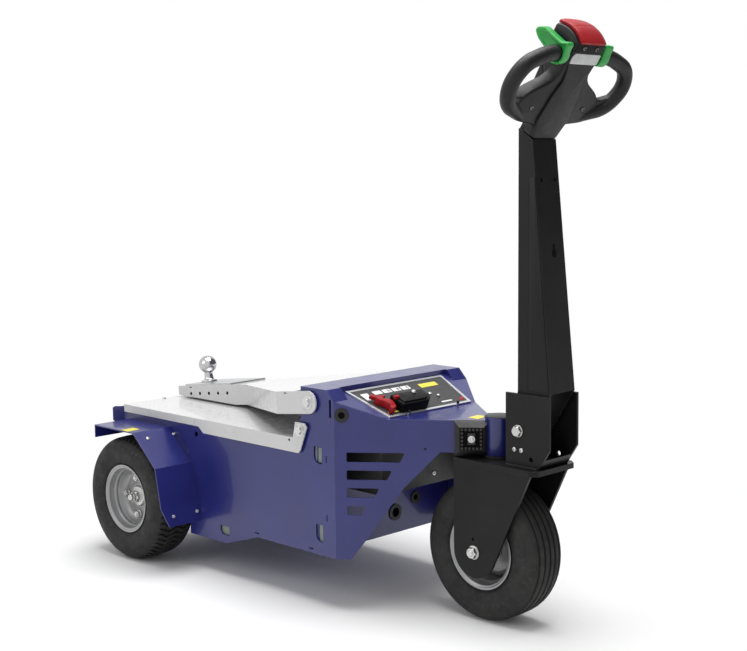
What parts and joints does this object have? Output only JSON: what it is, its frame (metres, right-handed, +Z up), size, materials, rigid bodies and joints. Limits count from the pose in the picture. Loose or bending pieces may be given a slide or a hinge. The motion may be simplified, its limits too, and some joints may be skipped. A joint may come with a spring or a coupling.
{
  "type": "electric trolley mover",
  "caption": "Pedestrian-steered electric tug: louvred steel body, lifting tow-ball boom over a hinged cover, steered front wheel and a tilting tiller with grip loops.",
  "frame": {"origin": "middle of the machine's outer length and width, on the floor", "axes": "+X forward to the steered wheel, +Y to the machine's left, +Z up"},
  "size_m": [1.4609, 0.698, 1.3394],
  "materials": {
    "blue_paint": "glossy powder coat",
    "black_paint": "satin powder coat",
    "pale_paint": "light grey powder coat",
    "grey_paint": "plain grey",
    "rim_grey": "silver paint",
    "zinc_steel": "zinc plated",
    "chrome_ball": "polished",
    "tyre_rubber": "matt",
    "black_rubber": "matt",
    "black_plastic": "fine texture",
    "red_plastic": "satin",
    "green_plastic": "satin",
    "grey_plastic": "matt"
  },
  "bodies": {
    "chassis": {"left_side_plate": "blue_paint", "right_side_plate": "blue_paint", "left_nose_panel": "blue_paint", "right_nose_panel": "blue_paint", "left_bumper": "black_rubber", "right_bumper": "black_rubber", "left_wheel_house": "blue_paint", "right_wheel_house": "blue_paint", "left_fender": "blue_paint", "right_fender": "blue_paint", "hood": "blue_paint", "head_tube": "blue_paint", "steering_bearing": "black_paint", "bulkhead": "blue_paint", "grommets": "black_rubber", "transaxle": "black_paint", "pivot_bolts": "zinc_steel", "panel_frame": "zinc_steel", "control_plate": "black_plastic", "socket_block": "black_plastic", "red_plug": "red_plastic", "battery": "black_plastic", "electronics_box": "grey_paint", "floor_tray": "blue_paint", "rear_plate": "blue_paint"},
    "left_wheel": {"left_tyre": "tyre_rubber", "left_rim": "rim_grey", "left_hub": "zinc_steel"},
    "right_wheel": {"right_tyre": "tyre_rubber", "right_rim": "rim_grey", "right_hub": "zinc_steel"},
    "steering_fork": {"fork": "black_paint", "front_axle": "zinc_steel", "stem": "zinc_steel", "tiller_base": "black_paint", "tilt_bolt": "zinc_steel"},
    "front_wheel": {"front_tyre": "tyre_rubber", "front_rim": "rim_grey", "front_hub": "zinc_steel"},
    "tiller": {"tiller_column": "black_paint", "tiller_head": "black_plastic", "left_grip": "black_plastic", "right_grip": "black_plastic", "belly_button": "red_plastic", "face_plate": "grey_plastic", "throttles": "green_plastic"},
    "boom": {"boom": "pale_paint", "ball_plate": "pale_paint", "tow_ball": "chrome_ball"},
    "cover": {"cover": "pale_paint"}
  },
  "joints": [
    {"name": "left_wheel_spin", "type": "hinge", "parent": "chassis", "child": "left_wheel", "pos_m": [-0.5655, 0.2565, 0.165], "axis": [0, 1, 0], "continuous": true},
    {"name": "right_wheel_spin", "type": "hinge", "parent": "chassis", "child": "right_wheel", "pos_m": [-0.5655, -0.2565, 0.165], "axis": [0, 1, 0], "continuous": true},
    {"name": "steering", "type": "hinge", "parent": "chassis", "child": "steering_fork", "pos_m": [0.4685, 0, 0.38], "axis": [0, 0, 1], "range_deg": [-75, 75]},
    {"name": "front_wheel_spin", "type": "hinge", "parent": "steering_fork", "child": "front_wheel", "pos_m": [0.4505, 0, 0.165], "axis": [0, 1, 0], "continuous": true},
    {"name": "tiller_tilt", "type": "hinge", "parent": "steering_fork", "child": "tiller", "pos_m": [0.5645, 0, 0.457], "axis": [0, 1, 0], "range_deg": [0, 35]},
    {"name": "boom_lift", "type": "hinge", "parent": "chassis", "child": "boom", "pos_m": [0.0865, 0, 0.49], "axis": [0, 1, 0], "range_deg": [0, 50]},
    {"name": "cover_lift", "type": "hinge", "parent": "chassis", "child": "cover", "pos_m": [0.0555, 0, 0.42], "axis": [0, 1, 0], "range_deg": [0, 40]}
  ],
  "couplings": [
    {"joint": "cover_lift", "follows": "boom_lift", "ratio": 0.8}
  ]
}
